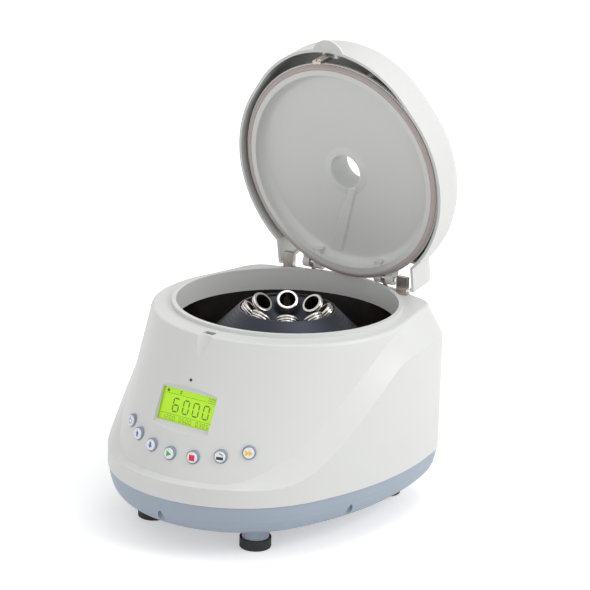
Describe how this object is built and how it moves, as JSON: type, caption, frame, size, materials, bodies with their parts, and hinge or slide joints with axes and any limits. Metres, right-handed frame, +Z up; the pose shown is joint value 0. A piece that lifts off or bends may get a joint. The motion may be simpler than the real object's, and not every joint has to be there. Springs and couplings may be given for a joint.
{
  "type": "benchtop centrifuge",
  "caption": "Benchtop centrifuge with a raised domed lid on rear hinges, an angle rotor with steel tube shields in a round chamber, and a sloping front panel with display and buttons",
  "frame": {"origin": "under the middle of the bounding box of the instrument with its lid open, on the bench", "axes": "+Z up, -Y toward the operator, +X to the operator's right"},
  "size_m": [0.2988, 0.3616, 0.4759],
  "materials": {
    "light_case": "satin moulded housing",
    "tray_blue": "satin moulded base",
    "lid_case": "satin moulded lid",
    "liner_plastic": "smooth moulded inner lid",
    "feet_rubber": "moulded rubber",
    "seal_rubber": "moulded rubber",
    "cushion_rubber": "moulded rubber",
    "gasket_silicone": "soft silicone",
    "screw_steel": "zinc plated",
    "bowl_steel": "spun stainless steel",
    "plate_steel": "zinc plated sheet",
    "shaft_steel": "turned steel",
    "shield_steel": "rolled stainless steel",
    "hinge_steel": "folded and plated",
    "striker_nickel": "nickel plated",
    "spring_steel": "spring wire",
    "motor_metal": "painted motor shell",
    "solenoid_metal": "coated coil",
    "rotor_black": "anodised black",
    "clear_pane": "clear",
    "lcd_face": "lit display face",
    "circuit_board": "solder resist",
    "lamp_lens": "small lens",
    "bezel_grey": "moulded ring",
    "key_white": "moulded cap",
    "switch_black": "moulded",
    "rocker_black": "moulded",
    "transformer_core": "laminated and varnished"
  },
  "bodies": {
    "housing": {"upper_housing": "light_case", "base_tray": "tray_blue", "rubber_feet": "feet_rubber", "foot_screws": "screw_steel", "case_screws": "screw_steel", "chamber_bowl": "bowl_steel", "motor_seal": "seal_rubber", "motor_plate": "plate_steel", "vibration_mounts": "seal_rubber", "plate_screws": "screw_steel", "motor_body": "motor_metal", "display_window": "clear_pane", "lcd_panel": "lcd_face", "control_board": "circuit_board", "board_screws": "screw_steel", "status_lamp": "lamp_lens", "button_bezels": "bezel_grey", "button_switches": "switch_black", "hinge_bracket_left": "hinge_steel", "hinge_bracket_right": "hinge_steel", "hinge_pins": "shaft_steel", "latch_frame": "plate_steel", "latch_pin": "shaft_steel", "latch_spring": "spring_steel", "latch_solenoid": "solenoid_metal", "lid_switch": "switch_black", "power_inlet": "switch_black", "mains_switch": "switch_black", "power_board": "circuit_board", "power_screws": "screw_steel", "transformer": "transformer_core"},
    "lid": {"lid_shell": "lid_case", "lid_liner": "liner_plastic", "lid_gasket": "gasket_silicone", "lid_screws": "screw_steel", "sight_window": "clear_pane", "latch_striker": "striker_nickel"},
    "rotor": {"motor_shaft": "shaft_steel", "rotor_body": "rotor_black", "rotor_nut": "shaft_steel", "tube_shields": "shield_steel", "tube_cushions": "cushion_rubber"},
    "pawl": {"latch_pawl": "plate_steel"},
    "plunger": {"latch_plunger": "shaft_steel"},
    "rocker": {"mains_rocker": "rocker_black"},
    "power_button": {"power_button": "key_white"},
    "up_button": {"up_button": "key_white"},
    "down_button": {"down_button": "key_white"},
    "start_button": {"start_button": "key_white"},
    "stop_button": {"stop_button": "key_white"},
    "lid_button": {"lid_button": "key_white"},
    "pulse_button": {"pulse_button": "key_white"}
  },
  "joints": [
    {"name": "lid_hinge", "type": "hinge", "parent": "housing", "child": "lid", "pos_m": [0, 0.14611, 0.2195], "axis": [1, 0, 0], "range_deg": [0, 79.7]},
    {"name": "rotor_spin", "type": "hinge", "parent": "housing", "child": "rotor", "pos_m": [0, 0.03221, 0.15], "axis": [0, 0, 1], "continuous": true},
    {"name": "power_button_press", "type": "slide", "parent": "housing", "child": "power_button", "axis": [0.3988, 0.9064, -0.1392], "range_m": [0, 0.001], "stiffness_N_per_m": 900, "springref_m": -0.0005},
    {"name": "up_button_press", "type": "slide", "parent": "housing", "child": "up_button", "axis": [0.2816, 0.9494, -0.1392], "range_m": [0, 0.001], "stiffness_N_per_m": 900, "springref_m": -0.0005},
    {"name": "down_button_press", "type": "slide", "parent": "housing", "child": "down_button", "axis": [0.1437, 0.9798, -0.1392], "range_m": [0, 0.001], "stiffness_N_per_m": 900, "springref_m": -0.0005},
    {"name": "start_button_press", "type": "slide", "parent": "housing", "child": "start_button", "axis": [0, 0.9903, -0.1392], "range_m": [0, 0.001], "stiffness_N_per_m": 900, "springref_m": -0.0005},
    {"name": "stop_button_press", "type": "slide", "parent": "housing", "child": "stop_button", "axis": [-0.1491, 0.979, -0.1392], "range_m": [0, 0.001], "stiffness_N_per_m": 900, "springref_m": -0.0005},
    {"name": "lid_button_press", "type": "slide", "parent": "housing", "child": "lid_button", "axis": [-0.3051, 0.9421, -0.1392], "range_m": [0, 0.001], "stiffness_N_per_m": 900, "springref_m": -0.0005},
    {"name": "pulse_button_press", "type": "slide", "parent": "housing", "child": "pulse_button", "axis": [-0.4543, 0.8799, -0.1392], "range_m": [0, 0.001], "stiffness_N_per_m": 900, "springref_m": -0.0005},
    {"name": "pawl_swing", "type": "hinge", "parent": "housing", "child": "pawl", "pos_m": [0, -0.09279, 0.178], "axis": [1, 0, 0], "range_deg": [0, 10], "stiffness_Nm_per_rad": 0.05, "springref_deg": -5.73},
    {"name": "plunger_slide", "type": "slide", "parent": "housing", "child": "plunger", "axis": [0, 1, 0], "range_m": [0, 0.0018]},
    {"name": "rocker_tilt", "type": "hinge", "parent": "housing", "child": "rocker", "pos_m": [0.006, 0.15421, 0.092], "axis": [1, 0, 0], "range_deg": [-8, 8]}
  ],
  "couplings": [
    {"joint": "plunger_slide", "follows": "pawl_swing", "m_per_rad": 0.0096}
  ]
}
